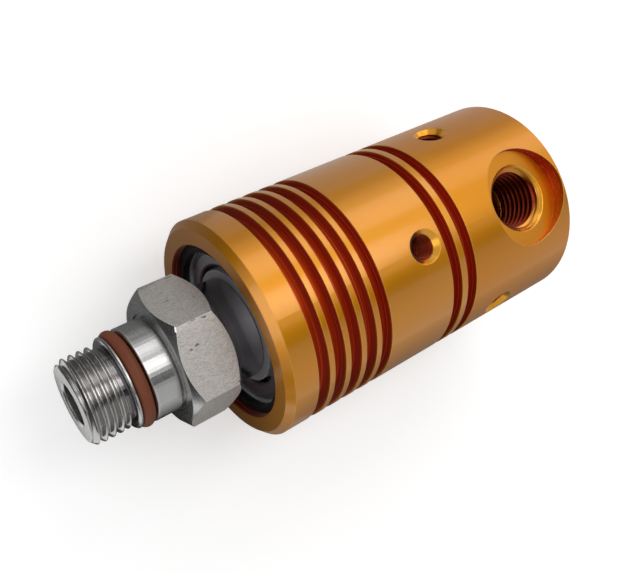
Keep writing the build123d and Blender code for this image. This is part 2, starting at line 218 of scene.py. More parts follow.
def flatSheet(name, xs, ys, height=0.0):
    mesh = bpy.data.meshes.new(name)
    corners = ((xs[0], ys[0]), (xs[1], ys[0]), (xs[1], ys[1]), (xs[0], ys[1]))
    mesh.from_pydata([Vector((x, y, height)) * mm for x, y in corners], [], [(0, 1, 2, 3)])
    sheet = addObject(name, mesh)
    return sheet


def mattSheet(sheet, name, color, roughness):
    material = bpy.data.materials.new(name)
    material.use_nodes = True
    shader = material.node_tree.nodes["Principled BSDF"]
    shader.inputs["Base Color"].default_value = color
    shader.inputs["Roughness"].default_value = roughness
    shader.inputs["Specular IOR Level"].default_value = 0
    sheet.data.materials.append(material)
    return material.node_tree, shader


def paintCard(card, grey):
    # only mirrors see a card: it throws no shadow and hides nothing
    card.visible_camera = False
    card.visible_diffuse = False
    card.visible_shadow = False
    return mattSheet(card, card.name, (grey, grey, grey, 1), 1)


def hangCard(name, values):
    length, width = values["size"]
    card = flatSheet(name, (-length / 2, length / 2), (-width / 2, width / 2))
    faceAxis(card, values)
    paintCard(card, values["grey"])


def standCard(name, values):
    # stands across the table, ahead of the thread
    half = values["height"] / 2
    card = flatSheet(name, (-half, half), values["y"])
    middle = Vector((values["x"], 0, floorHeight + half)) * mm
    card.matrix_world = Matrix.Translation(middle) @ Matrix.Rotation(radians(90), 4, "Y")
    paintCard(card, values["grey"])


def layCard(name, values, grey):
    lift = values.get("lift", studio["cardLift"])
    return paintCard(flatSheet(name, values["x"], values["y"], floorHeight + lift), grey)


def fadeCard(name, values):
    # painted shade in the mirrored table: dark by the union, paler away from it on the -Y side
    tree, shader = layCard(name, values, values["greys"][0])
    across = addNode(tree, "ShaderNodeSeparateXYZ", {0: objectCoords(tree)}).outputs["Y"]
    span = [-reach * mm for reach in values["reach"]]
    tree.links.new(ramp(tree, across, span, values["greys"]), shader.inputs["Base Color"])


def makeWorld(strength):
    world = bpy.data.worlds.new("studio")
    bpy.context.scene.world = world
    world.use_nodes = True
    background = world.node_tree.nodes["Background"]
    background.inputs["Color"].default_value = white
    background.inputs["Strength"].default_value = strength


def makeFloor(values):
    half = values["floorSize"] / 2
    floor = flatSheet("floor", (-half, half), (-half, half), floorHeight)
    tree, shader = mattSheet(floor, "whiteTable", values["floorColor"], values["floorRoughness"])
    shader.inputs["Emission Color"].default_value = white
    path = addNode(tree, "ShaderNodeLightPath").outputs
    seen = calc(tree, "ADD", path["Is Camera Ray"], path["Is Glossy Ray"], clamp=True)
    seen = calc(tree, "ADD", seen, path["Is Transmission Ray"], clamp=True)
    glow = calc(tree, "MULTIPLY", seen, values["floorGlow"])
    tree.links.new(glow, shader.inputs["Emission Strength"])


makeWorld(studio["world"])
makeFloor(studio)
for name, values in lamps.items():
    makeLamp(name, values)
for name, values in hungCards.items():
    hangCard(name, values)
standCard("frontCard", frontCard)
for name, values in fadedCards.items():
    fadeCard(name, values)
for name, values in laidCards.items():
    layCard(name, values, values["grey"])
bpy.context.scene.view_settings.view_transform = "Standard"
print("studio set:", len(lamps), "lamps")


# effects that several finishes share, as shader groups
def makeAxisPlace():
    # distance along and from the rotor axis, in millimetres
    group = bpy.data.node_groups.new("axisPlace", "ShaderNodeTree")
    for name in ("Along", "Radius"):
        addSocket(group, name, "OUTPUT", "Float")
    out = addNode(group, "NodeGroupOutput")
    place = addNode(group, "ShaderNodeVectorMath", {
        0: objectCoords(group), "Scale": 1 / mm}, operation="SCALE").outputs[0]
    split = addNode(group, "ShaderNodeSeparateXYZ", {0: place}).outputs
    flat = addNode(group, "ShaderNodeCombineXYZ", {"Y": split["Y"], "Z": split["Z"]}).outputs[0]
    reach = addNode(group, "ShaderNodeVectorMath", {0: flat}, operation="LENGTH").outputs["Value"]
    group.links.new(split["X"], out.inputs["Along"])
    group.links.new(reach, out.inputs["Radius"])
    return group


def makeLatheMarks(axisPlace):
    # fine rings left by the turning tool, a slower waver between them, and a few deeper lines
    group = bpy.data.node_groups.new("latheMarks", "ShaderNodeTree")
    addSocket(group, "Rings per mm", "INPUT", "Float", 9.0)
    addSocket(group, "Waver", "INPUT", "Float", 0.4)
    addSocket(group, "Marks", "OUTPUT", "Float")
    addSocket(group, "Lines", "OUTPUT", "Float")
    given = addNode(group, "NodeGroupInput").outputs
    out = addNode(group, "NodeGroupOutput")
    place = useGroup(group, axisPlace)
    turned = addNode(group, "ShaderNodeCombineXYZ", {
        "X": place["Along"], "Y": place["Radius"]}).outputs[0]
    fine = noise(group, turned, given["Rings per mm"], 3.0, 0.7)
    slow = noise(group, turned, 0.9, 2.0)
    mixed = addNode(group, "ShaderNodeMix", {0: given["Waver"], 2: fine, 3: slow}, data_type="FLOAT")
    line = ramp(group, noise(group, turned, 2.6, 1.0), (0.60, 0.68))    # only the highest ridges
    group.links.new(mixed.outputs[0], out.inputs["Marks"])
    group.links.new(line, out.inputs["Lines"])
    return group


def makeSoftEdges():
    # rounds sharp corners for the light, and tells where they are
    group = bpy.data.node_groups.new("softEdges", "ShaderNodeTree")
    addSocket(group, "Radius", "INPUT", "Float", 0.00015)
    addSocket(group, "Normal", "OUTPUT", "Vector")
    addSocket(group, "Edge", "OUTPUT", "Float")
    given = addNode(group, "NodeGroupInput").outputs
    out = addNode(group, "NodeGroupOutput")
    bevel = addNode(group, "ShaderNodeBevel", {"Radius": given["Radius"]}, samples=6).outputs[0]
    plain = addNode(group, "ShaderNodeNewGeometry").outputs["Normal"]
    turn = addNode(group, "ShaderNodeVectorMath", {0: bevel, 1: plain}, operation="DOT_PRODUCT")
    group.links.new(bevel, out.inputs["Normal"])
    group.links.new(ramp(group, turn.outputs["Value"], (0.995, 0.8)), out.inputs["Edge"])
    return group


def makeHandling():
    # faint smears from handling, 0 clean to 1
    group = bpy.data.node_groups.new("handling", "ShaderNodeTree")
    addSocket(group, "Size", "INPUT", "Float", 90.0)
    addSocket(group, "Smear", "OUTPUT", "Float")
    given = addNode(group, "NodeGroupInput").outputs
    out = addNode(group, "NodeGroupOutput")
    smear = noise(group, objectCoords(group), given["Size"], 4.0, 0.6)
    group.links.new(ramp(group, smear, (0.35, 0.7)), out.inputs["Smear"])
    return group


axisPlace = makeAxisPlace()
latheMarks = makeLatheMarks(axisPlace)
softEdges = makeSoftEdges()
handling = makeHandling()


def startMaterial(name, values):
    # what is the same all over a surface goes straight onto the shader
    material = bpy.data.materials.new(name)
    material.use_nodes = True
    shader = material.node_tree.nodes["Principled BSDF"]
    for socket in ("Metallic", "IOR", "Specular IOR Level", "Coat Weight", "Coat Roughness", "Coat IOR",
                   "Sheen Weight", "Sheen Roughness", "Sheen Tint"):
        if socket in values:
            shader.inputs[socket].default_value = values[socket]
    return material, material.node_tree, shader


def mixColor(tree, share, first, second):
    mix = addNode(tree, "ShaderNodeMix", {0: share, 6: first, 7: second}, data_type="RGBA")
    return mix.outputs[2]


def darker(color, share):
    return tuple(share * part for part in color[:3]) + (1,)


def roughen(tree, shader, base, *extras):
    # base roughness plus each (mask, amount)
    total = base
    for mask, amount in extras:
        total = calc(tree, "MULTIPLY_ADD", mask, amount, total, clamp=True)
    tree.links.new(total, shader.inputs["Roughness"])


def bump(tree, shader, height, depth, normal):
    turned = addNode(tree, "ShaderNodeBump", {"Height": height, "Distance": depth, "Normal": normal})
    tree.links.new(turned.outputs[0], shader.inputs["Normal"])


# gold anodised aluminium, with painted shade, dark red, in its grooves, bores and holes
goldValues = {
    "color": (0.71, 0.272, 0.001, 1),
    "pale": (0.73, 0.315, 0.008, 1),    # where it was handled
    # painted shade: the dark red of grooves, bores and holes, with lighter tool lines in it
    "paintedShade": (0.50, 0.024, 0.004, 1),
    "paintedShadeLine": (0.95, 0.22, 0.10, 1),
    "cutAndGlintColor": (0.95, 0.45, 0.02, 1),  # countersinks: brighter cut metal with a painted glint
    # painted highlight along the edges
    "edgeGlintColor": (1.0, 0.66, 0.16, 1),
    "edgeRadius": 0.00026,
    "smearSize": 60.0,
    "ringsPerMm": 7.0,
    "waver": 0.5,
    "markDepth": 0.000004,
    "paleShare": 0.35,
    "cutAndGlintShare": 0.6,
    "edgeShare": 0.6,
    "glintInShade": -1.2,                  # the painted edge highlight is weaker where the painted shade is deep
    "roughness": 0.40,
    "markRough": 0.10,
    "smearRough": 0.05,
    "cutRough": -0.22,                  # smoother where a cutter left a countersink
    "coat": 1.0,
    # the coat is weaker under the painted shade
    "shadeCoat": 0.12,
    "Metallic": 1.0,
    "Coat IOR": 1.5,
    "Coat Roughness": 0.18,
    "Sheen Weight": 0.14,
    "Sheen Roughness": 0.4,
    "Sheen Tint": (1.0, 0.74, 0.55, 1),
}
endGold = dict(goldValues, color=(0.70, 0.258, 0.001, 1), coat=0.6)
# in the threads the painted shade is darker still
threadGold = dict(goldValues, paintedShade=(0.16, 0.008, 0.002, 1), paintedShadeLine=(0.3, 0.02, 0.01, 1),
                  edgeRadius=0.0001, roughness=0.24)


def makeGold(name, values, places):
    # places tells how much painted shade there is, and where a cutter left the gold smooth
    material, tree, shader = startMaterial(name, values)
    edges = useGroup(tree, softEdges, {"Radius": values["edgeRadius"]})
    marks = useGroup(tree, latheMarks, {"Rings per mm": values["ringsPerMm"], "Waver": values["waver"]})
    smear = useGroup(tree, handling, {"Size": values["smearSize"]})["Smear"]
    place = useGroup(tree, axisPlace)
    shadeAmount, cut = places(tree, place["Along"], place["Radius"])

    tone = mixColor(tree, times(tree, smear, values["paleShare"]), values["color"], values["pale"])
    # painted shade in the grooves, bores and holes
    paintedShade = mixColor(tree, marks["Lines"], values["paintedShade"], values["paintedShadeLine"])
    tone = mixColor(tree, shadeAmount, tone, paintedShade)
    # countersinks paler: cut metal and a painted glint
    tone = mixColor(tree, times(tree, cut, values["cutAndGlintShare"]), tone, values["cutAndGlintColor"])
    # painted highlight on the edges, weaker where the painted shade is deep
    glintShare = calc(tree, "MULTIPLY_ADD", shadeAmount, values["glintInShade"], values["edgeShare"], clamp=True)
    tone = mixColor(tree, times(tree, edges["Edge"], glintShare), tone, values["edgeGlintColor"])
    tree.links.new(tone, shader.inputs["Base Color"])

    # weaker coat under the painted shade
    lessCoat = values["shadeCoat"] - values["coat"]
    coat = calc(tree, "MULTIPLY_ADD", shadeAmount, lessCoat, values["coat"], clamp=True)
    tree.links.new(coat, shader.inputs["Coat Weight"])
    roughen(tree, shader, values["roughness"], (marks["Marks"], values["markRough"]),
            (smear, values["smearRough"]), (cut, values["cutRough"]))
    bump(tree, shader, marks["Marks"], values["markDepth"], edges["Normal"])
    return material


# Where the painted shade gathers, and where the countersinks are. Each pair says where a mask starts
# and
# where it is full, in mm: radius from the rotor axis, away from the port's axis.
portStation = 77.05
bearingHousingShade = {
    "grooves": {"radius": (21.9, 21.4), "along": (15.2, 15.4), "paintedShade": 0.85},
    "vents": {"station": 48.1, "reach": (3.6, 3.4), "radius": (21.1, 20.8), "paintedShade": 0.9},
    "mouth": {"radius": (17.75, 17.6), "paintedShade": 0.95},
    "countersinks": (21.98, 21.9),
}
endHousingShade = {
    "seam": {"radius": (21.95, 21.7), "along": (59.2, 59.0), "paintedShade": 0.85},
    "spotWall": {"away": (9.75, 9.98), "ends": (10.4, 10.25), "radius": (21.98, 21.7),
                 "across": (-6.0, 5.0), "paintedShade": (0.4, 1.0)},     # painted shade, darkest on its far side
    "fixings": {"away": (10.4, 10.5), "along": (63.0, 63.2), "radius": (21.3, 20.9), "paintedShade": 0.9},
    "port": {"radius": (17.3, 16.8), "edge": (7.1, 7.0), "paintedShade": 0.97},
    "countersinks": (21.98, 21.9),
    "rearFace": (86.0, 85.8),           # plain gold behind it
}


def fromPort(tree):
    # distance from the port's axis, and how far across, in mm
    split = addNode(tree, "ShaderNodeSeparateXYZ", {0: objectCoords(tree)}).outputs
    x = calc(tree, "MULTIPLY_ADD", split["X"], 1 / mm, -portStation)
    y = calc(tree, "MULTIPLY", split["Y"], 1 / mm)
    return calc(tree, "SQRT", calc(tree, "MULTIPLY_ADD", x, x, calc(tree, "MULTIPLY", y, y))), y


def bearingHousingPlaces(tree, along, radius):
    groove, vent, mouth = (bearingHousingShade[part] for part in ("grooves", "vents", "mouth"))
    fromVents = calc(tree, "ABSOLUTE", calc(tree, "SUBTRACT", along, vent["station"]))
    atVents = softly(tree, fromVents, vent["reach"])
    inGrooves = times(tree, softly(tree, radius, groove["radius"]),
                      softly(tree, along, groove["along"]),
                      softly(tree, fromVents, vent["reach"][::-1]), groove["paintedShade"])
    inVents = times(tree, softly(tree, radius, vent["radius"]), atVents, vent["paintedShade"])
    inMouth = times(tree, softly(tree, radius, mouth["radius"]), mouth["paintedShade"])
    cut = times(tree, softly(tree, radius, bearingHousingShade["countersinks"]), atVents)
    return largest(tree, inGrooves, inVents, inMouth), cut


def endHousingPlaces(tree, along, radius):
    seam, wall, fixing, port = (endHousingShade[part] for part in ("seam", "spotWall", "fixings", "port"))
    away, across = fromPort(tree)
    ahead = softly(tree, along, endHousingShade["rearFace"])
    inSeam = times(tree, softly(tree, radius, seam["radius"]),
                   softly(tree, along, seam["along"]), seam["paintedShade"])
    onWall = times(tree, softly(tree, away, wall["away"]), softly(tree, away, wall["ends"]),
                   ramp(tree, across, wall["across"], wall["paintedShade"]),
                   softly(tree, radius, wall["radius"]))
    atFixings = times(tree, softly(tree, away, fixing["away"]),
                      softly(tree, along, fixing["along"]), ahead)
    inFixings = times(tree, softly(tree, radius, fixing["radius"]), atFixings, fixing["paintedShade"])
    inPort = times(tree, softly(tree, radius, port["radius"]), ahead, port["paintedShade"])
    cut = largest(tree, times(tree, softly(tree, radius, endHousingShade["countersinks"]), atFixings),
                  times(tree, softly(tree, away, port["edge"]), ahead))
    return largest(tree, inSeam, onWall, inFixings, inPort), cut


def threadPlaces(depths, paintedShade=0.97):
    # painted shade below the countersink
    return lambda tree, along, radius: (times(tree, softly(tree, radius, depths), paintedShade), 0.0)


gold = {
    "bearingHousing": makeGold("goldBearingHousing", goldValues, bearingHousingPlaces),
    "endHousing": makeGold("goldEndHousing", endGold, endHousingPlaces),
    "portThread": makeGold("goldPortThread", threadGold, threadPlaces((17.75, 17.35))),
    "holeThread": makeGold("goldHoleThread", threadGold, threadPlaces((21.2, 20.9))),
}


# steels: the bright colour is the metal of scratches and edges, on the edges both wear and a painted
# highlight; marks are rings per mm
steelValues = {
    "stainless": {"color": (0.53, 0.525, 0.52, 1), "wearAndGlint": (0.82, 0.81, 0.79, 1), "roughness": 0.18,
                  "marks": 6.0, "markDepth": 0.000006},
    # the rotor's stainless again, darker: painted shade on its neck and thread relief
    "shadedSteel": {"color": (0.24, 0.225, 0.235, 1), "wearAndGlint": (0.6, 0.59, 0.58, 1), "roughness": 0.11,
                  "marks": 5.0, "markDepth": 0.000003},
    # the rotor's stainless again, darker: painted shade on its thread
    "shadedThreadSteel": {"color": (0.46, 0.45, 0.44, 1), "wearAndGlint": (0.92, 0.90, 0.86, 1), "roughness": 0.11,
                    "marks": 9.0, "markDepth": 0.000006},
    "bearingSteel": {"color": (0.70, 0.70, 0.72, 1), "wearAndGlint": (0.95, 0.95, 0.95, 1), "roughness": 0.45,
                     "marks": 8.0, "markDepth": 0.000003},
    "pressedSteel": {"color": (0.58, 0.58, 0.63, 1), "wearAndGlint": (0.9, 0.9, 0.92, 1), "roughness": 0.22,
                     "marks": 3.0, "markDepth": 0.00001},
    "blackSpringSteel": {"color": (0.035, 0.034, 0.036, 1), "wearAndGlint": (0.2, 0.2, 0.2, 1),
                         "roughness": 0.42, "marks": 5.0, "markDepth": 0.000006},
    "springWire": {"color": (0.5, 0.5, 0.5, 1), "wearAndGlint": (0.7, 0.7, 0.7, 1), "roughness": 0.25,
                   "marks": 6.0, "markDepth": 0.000004},
}
steelWearAndGlint = {
    "edgeRadius": 0.0001,
    "waver": 0.35,
    "smearSize": 110.0,
    "dull": 0.8,
    "dullShare": 0.3,
    "lineShare": 0.3,
    "edgeShare": 0.7,
    "markRough": 0.12,
    "smearRough": 0.06,
    "Metallic": 1.0,
}


def makeSteel(name, values):
    material, tree, shader = startMaterial(name, values)
    edges = useGroup(tree, softEdges, {"Radius": values["edgeRadius"]})
    marks = useGroup(tree, latheMarks, {"Rings per mm": values["marks"], "Waver": values["waver"]})
    smear = useGroup(tree, handling, {"Size": values["smearSize"]})["Smear"]
    dull = darker(values["color"], values["dull"])
    tone = mixColor(tree, times(tree, smear, values["dullShare"]), values["color"], dull)
    tone = mixColor(tree, times(tree, marks["Lines"], values["lineShare"]), tone, values["wearAndGlint"])
    # lighter edges: wear and a painted highlight
    tone = mixColor(tree, times(tree, edges["Edge"], values["edgeShare"]), tone, values["wearAndGlint"])
    tree.links.new(tone, shader.inputs["Base Color"])
    roughen(tree, shader, values["roughness"], (marks["Marks"], values["markRough"]),
            (smear, values["smearRough"]))
    bump(tree, shader, marks["Marks"], values["markDepth"], edges["Normal"])
    return material


# hex flats: ground, with short slanting scratches and a few dark pits, paler than the turned stainless
# as painted light
hexFlatsValues = {
    "color": (0.72, 0.69, 0.655, 1),
    "wearAndGlint": (0.88, 0.86, 0.84, 1),
    "pitColor": (0.08, 0.07, 0.06, 1),
    "dull": 0.7,
    "edgeRadius": 0.00018,
    "edgeShare": 0.8,
    "smearSize": 180.0,
    "slant": 52,                        # degrees
    "stretch": (0.25, 1.0, 1.0),        # of the scratches along their slant
    "scratches": {"scale": 5200.0, "span": (0.4, 0.62), "share": 0.6, "rough": 0.15},
    "grain": {"scale": 2600.0, "span": (0.42, 0.66), "share": 0.5},
    "pits": {"scale": 1500.0, "span": (0.69, 0.73), "share": 0.75, "depth": -1.5},
    "pitFields": {"scale": 900.0, "span": (0.45, 0.6)},
    "roughness": 0.46,
    "smearRough": 0.06,
    "markDepth": 0.00001,
    "Metallic": 1.0,
}


def makeHexFlats(values):
    material, tree, shader = startMaterial("hexFlats", values)
    scratch, grain, pit, field = (values[part] for part in ("scratches", "grain", "pits", "pitFields"))
    edges = useGroup(tree, softEdges, {"Radius": values["edgeRadius"]})
    smear = useGroup(tree, handling, {"Size": values["smearSize"]})["Smear"]
    coords = objectCoords(tree)
    slant = addNode(tree, "ShaderNodeMapping", {
        "Vector": coords, "Rotation": (0.0, 0.0, radians(values["slant"])),
        "Scale": values["stretch"]}).outputs[0]
    scratches = noise(tree, slant, scratch["scale"], 3.0, 0.65)
    specks = noise(tree, coords, grain["scale"], 3.0, 0.7)
    pits = times(tree, softly(tree, noise(tree, slant, pit["scale"], 1.0), pit["span"]),
                 softly(tree, noise(tree, coords, field["scale"], 3.0), field["span"]))
    lines = calc(tree, "MULTIPLY_ADD", softly(tree, scratches, scratch["span"]), scratch["share"],
                 times(tree, softly(tree, specks, grain["span"]), grain["share"]), clamp=True)
    tone = mixColor(tree, lines, values["color"], darker(values["color"], values["dull"]))
    tone = mixColor(tree, times(tree, pits, pit["share"]), tone, values["pitColor"])
    # lighter edges: wear and a painted highlight
    tone = mixColor(tree, times(tree, edges["Edge"], values["edgeShare"]), tone, values["wearAndGlint"])
    tree.links.new(tone, shader.inputs["Base Color"])
    roughen(tree, shader, values["roughness"], (scratches, scratch["rough"]),
            (smear, values["smearRough"]))
    height = calc(tree, "MULTIPLY_ADD", pits, pit["depth"], scratches)
    bump(tree, shader, height, values["markDepth"], edges["Normal"])
    return material


steel = {name: makeSteel(name, dict(steelWearAndGlint, **values)) for name, values in steelValues.items()}
steel["hexFlats"] = makeHexFlats(hexFlatsValues)


# rubbers, carbon and ceramic: bloom is the paler film on them, grain is per metre
mattValues = {
    "brownRubber": {"color": (0.145, 0.034, 0.010, 1), "bloom": (0.18, 0.048, 0.018, 1),
                    "roughness": 0.46, "grain": 1800.0, "depth": 0.00002, "IOR": 1.5,
                    "Specular IOR Level": 0.35},
    "blackRubber": {"color": (0.012, 0.012, 0.013, 1), "bloom": (0.05, 0.05, 0.05, 1), "roughness": 0.5,
                    "grain": 1800.0, "depth": 0.00002, "IOR": 1.5},
    "carbon": {"color": (0.022, 0.022, 0.024, 1), "bloom": (0.07, 0.07, 0.075, 1), "roughness": 0.36,
               "grain": 3000.0, "depth": 0.00001, "IOR": 1.8},
    "sealCeramic": {"color": (0.10, 0.10, 0.105, 1), "bloom": (0.16, 0.16, 0.16, 1), "roughness": 0.2,
                    "grain": 2600.0, "depth": 0.000004, "IOR": 2.0},
}
mattFilm = {"smearSize": 140.0, "bloomShare": 0.6, "grainRough": 0.12, "smearRough": 0.08}


def makeMatt(name, values):
    material, tree, shader = startMaterial(name, values)
    grain = noise(tree, objectCoords(tree), values["grain"], 4.0)
    smear = useGroup(tree, handling, {"Size": values["smearSize"]})["Smear"]
    tone = mixColor(tree, times(tree, smear, values["bloomShare"]), values["color"], values["bloom"])
    tree.links.new(tone, shader.inputs["Base Color"])
    roughen(tree, shader, values["roughness"], (grain, values["grainRough"]),
            (smear, values["smearRough"]))
    plain = addNode(tree, "ShaderNodeNewGeometry").outputs["Normal"]
    bump(tree, shader, grain, values["depth"], plain)
    return material


matt = {name: makeMatt(name, dict(mattFilm, **values)) for name, values in mattValues.items()}
print("finishes made:", len(gold) + len(steel) + len(matt))


# the frame's own nodes and what they are made of
nodeFinish = {
    "bearing_housing": gold["bearingHousing"],
    "end_housing": gold["endHousing"],
    "seal_carrier": steel["stainless"],
    "front_bearing_inner_ring": steel["bearingSteel"],
    "rear_bearing_inner_ring": steel["bearingSteel"],
    "front_bearing_outer_ring": steel["bearingSteel"],
    "rear_bearing_outer_ring": steel["bearingSteel"],
    "front_bearing_balls": steel["bearingSteel"],
    "rear_bearing_balls": steel["bearingSteel"],
    "inner_spacer": steel["bearingSteel"],
    "outer_spacer": steel["bearingSteel"],
    "anti_rotation_pins": steel["bearingSteel"],
    "front_bearing_shields": steel["pressedSteel"],
    "rear_bearing_shields": steel["pressedSteel"],
    "front_bearing_cage": steel["pressedSteel"],
    "rear_bearing_cage": steel["pressedSteel"],
    "housing_retaining_ring": steel["blackSpringSteel"],
    "rotor_retaining_ring": steel["blackSpringSteel"],
    "pilot_o_ring": matt["brownRubber"],
    "housing_joint_o_ring": matt["blackRubber"],
    "carrier_o_ring": matt["blackRubber"],
    "seal_ring_o_ring": matt["blackRubber"],
    "carbon_seal_ring": matt["carbon"],
    "rotating_seal_ring": matt["sealCeramic"],
}
for name, material in nodeFinish.items():
    nodes[name].data.materials.clear()
    nodes[name].data.materials.append(material)
print("frame nodes finished:", len(nodeFinish))


def showPiece(name, mesh, body, smoothAngle=32):
    mesh.shade_smooth()
    mesh.set_sharp_from_angle(angle=radians(smoothAngle))
    piece = addObject(name, mesh)
    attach(piece, body)
    return piece


def mergedCopy(nodeName):
    work = bmesh.new()
    work.from_mesh(nodes[nodeName].data)
    bmesh.ops.remove_doubles(work, verts=work.verts, dist=weld)
    return work


def newMesh(name, work, *materials):
    mesh = bpy.data.meshes.new(name)
    work.to_mesh(mesh)
    work.free()
    for material in materials:
        mesh.materials.append(material)
    return mesh


# threads, cut by one tree: a ring with a helical thread on its open side and a plain back
def makeThreadTree():
    tree = bpy.data.node_groups.new("threadRings", "GeometryNodeTree")
    addSocket(tree, "Geometry", "INPUT", "Geometry")
    sizes = {
        "Crest Radius": 0.008, "Root Radius": 0.00706, "Back Radius": 0.007, "Pitch": 0.0015,
        "Length": 0.007, "Crest Width": 0.0002, "Flank Slope": 1.73, "Start Chamfer": 0.00095,
        "End Chamfer": 0.0004, "Hand": 1.0, "Tilt": 0.0, "Start Angle": 0.0, "Mouth Radius": 0.0,
        "Station": 0.0,
    }
    for name, value in sizes.items():
        addSocket(tree, name, "INPUT", "Float", value)
    addSocket(tree, "Copies", "INPUT", "Int", 1)
    addSocket(tree, "Columns per Turn", "INPUT", "Int", 16)
    addSocket(tree, "Facets", "INPUT", "Int", 120)
    addSocket(tree, "Material", "INPUT", "Material")
    addSocket(tree, "Geometry", "OUTPUT", "Geometry")
    given = addNode(tree, "NodeGroupInput").outputs
    out = addNode(tree, "NodeGroupOutput")
    touching = 0.0000001    # m
    seamGap = 0.0000008     # m, closes the ring where the grid meets itself

    # grid: x runs along the thread, y is the angle
    wholeTurns = calc(tree, "CEIL", calc(tree, "DIVIDE", given["Length"], given["Pitch"]))
    turns = calc(tree, "ADD", wholeTurns, 1.0)
    columns = calc(tree, "MULTIPLY_ADD", turns, given["Columns per Turn"], 1.0)
    rows = calc(tree, "ADD", given["Facets"], 1.0)
    span = calc(tree, "MULTIPLY", turns, given["Pitch"])
    grid = addNode(tree, "GeometryNodeMeshGrid", {
        "Size X": span, "Size Y": 2 * pi, "Vertices X": columns, "Vertices Y": rows}).outputs["Mesh"]
    position = addNode(tree, "GeometryNodeInputPosition").outputs[0]
    point = addNode(tree, "ShaderNodeSeparateXYZ", {0: position}).outputs
    travel = calc(tree, "ADD", point["X"], calc(tree, "MULTIPLY", span, 0.5))
    turned = calc(tree, "DIVIDE", calc(tree, "ADD", point["Y"], pi), 2 * pi)
    raw = calc(tree, "MULTIPLY_ADD", calc(tree, "SUBTRACT", turned, 1.0), given["Pitch"], travel)
    along = calc(tree, "MINIMUM", calc(tree, "MAXIMUM", raw, 0.0), given["Length"])

    # depth below the crest, deeper where an end is chamfered
    phase = calc(tree, "FRACT", calc(tree, "DIVIDE", travel, given["Pitch"]))
    offMiddle = calc(tree, "ABSOLUTE", calc(tree, "SUBTRACT", phase, 0.5))
    offCrest = calc(tree, "MULTIPLY", offMiddle, given["Pitch"])
    offLand = calc(tree, "MULTIPLY_ADD", given["Crest Width"], -0.5, offCrest)
    flank = calc(tree, "MULTIPLY", offLand, given["Flank Slope"])
    fromEnd = calc(tree, "SUBTRACT", given["Length"], along)
    chamfer = largest(tree, calc(tree, "SUBTRACT", given["Start Chamfer"], along),
                      calc(tree, "SUBTRACT", given["End Chamfer"], fromEnd))
    step = calc(tree, "SUBTRACT", given["Root Radius"], given["Crest Radius"])
    depth = calc(tree, "MINIMUM", largest(tree, flank, chamfer, 0.0), calc(tree, "ABSOLUTE", step))
    cutRadius = calc(tree, "MULTIPLY_ADD", calc(tree, "SIGN", step), depth, given["Crest Radius"])
    atEnd = calc(tree, "LESS_THAN", calc(tree, "MINIMUM", along, fromEnd), touching)
    radius = addNode(tree, "ShaderNodeMix", {
        0: atEnd, 2: cutRadius, 3: given["Back Radius"]}, data_type="FLOAT").outputs[0]

    def wrapped(geometry, x, r):
        angle = calc(tree, "MULTIPLY", point["Y"], given["Hand"])
        place = addNode(tree, "ShaderNodeCombineXYZ", {
            "X": x, "Y": calc(tree, "MULTIPLY", r, calc(tree, "COSINE", angle)),
            "Z": calc(tree, "MULTIPLY", r, calc(tree, "SINE", angle))}).outputs[0]
        return addNode(tree, "GeometryNodeSetPosition", {
            "Geometry": geometry, "Position": place}).outputs[0]

    sleeve = addNode(tree, "GeometryNodeMeshGrid", {
        "Size X": given["Length"], "Size Y": 2 * pi,
        "Vertices X": 2, "Vertices Y": rows}).outputs["Mesh"]
    sleeveX = calc(tree, "MULTIPLY_ADD", given["Length"], 0.5, point["X"])
    ring = addNode(tree, "GeometryNodeJoinGeometry")
    for side in (wrapped(grid, along, radius), wrapped(sleeve, sleeveX, given["Back Radius"])):
        tree.links.new(side, ring.inputs[0])
    closed = addNode(tree, "GeometryNodeMergeByDistance", {
        "Geometry": ring.outputs[0], "Distance": seamGap}).outputs[0]

    # copies round the rotor axis; tilt turns a hole's thread to point inwards
    tilt = addNode(tree, "ShaderNodeCombineXYZ", {"Z": calc(tree, "RADIANS", given["Tilt"])}).outputs[0]
    tilted = addNode(tree, "GeometryNodeTransform", {"Geometry": closed, "Rotation": tilt}).outputs[0]
    points = addNode(tree, "GeometryNodePoints", {"Count": given["Copies"]}).outputs[0]
    index = addNode(tree, "GeometryNodeInputIndex").outputs[0]
    share = calc(tree, "DIVIDE", index, given["Copies"])
    around = calc(tree, "MULTIPLY_ADD", share, 2 * pi, calc(tree, "RADIANS", given["Start Angle"]))
    mouth = addNode(tree, "ShaderNodeCombineXYZ", {
        "X": given["Station"],
        "Y": calc(tree, "MULTIPLY", given["Mouth Radius"], calc(tree, "COSINE", around)),
        "Z": calc(tree, "MULTIPLY", given["Mouth Radius"], calc(tree, "SINE", around))}).outputs[0]
    placed = addNode(tree, "GeometryNodeSetPosition", {
        "Geometry": points, "Position": mouth}).outputs[0]
    turn = addNode(tree, "ShaderNodeCombineXYZ", {"X": around}).outputs[0]
    copies = addNode(tree, "GeometryNodeInstanceOnPoints", {
        "Points": placed, "Instance": tilted, "Rotation": turn}).outputs[0]
    real = addNode(tree, "GeometryNodeRealizeInstances", {"Geometry": copies}).outputs[0]
    painted = addNode(tree, "GeometryNodeSetMaterial", {
        "Geometry": real, "Material": given["Material"]}).outputs[0]
    tree.links.new(painted, out.inputs[0])
    return tree


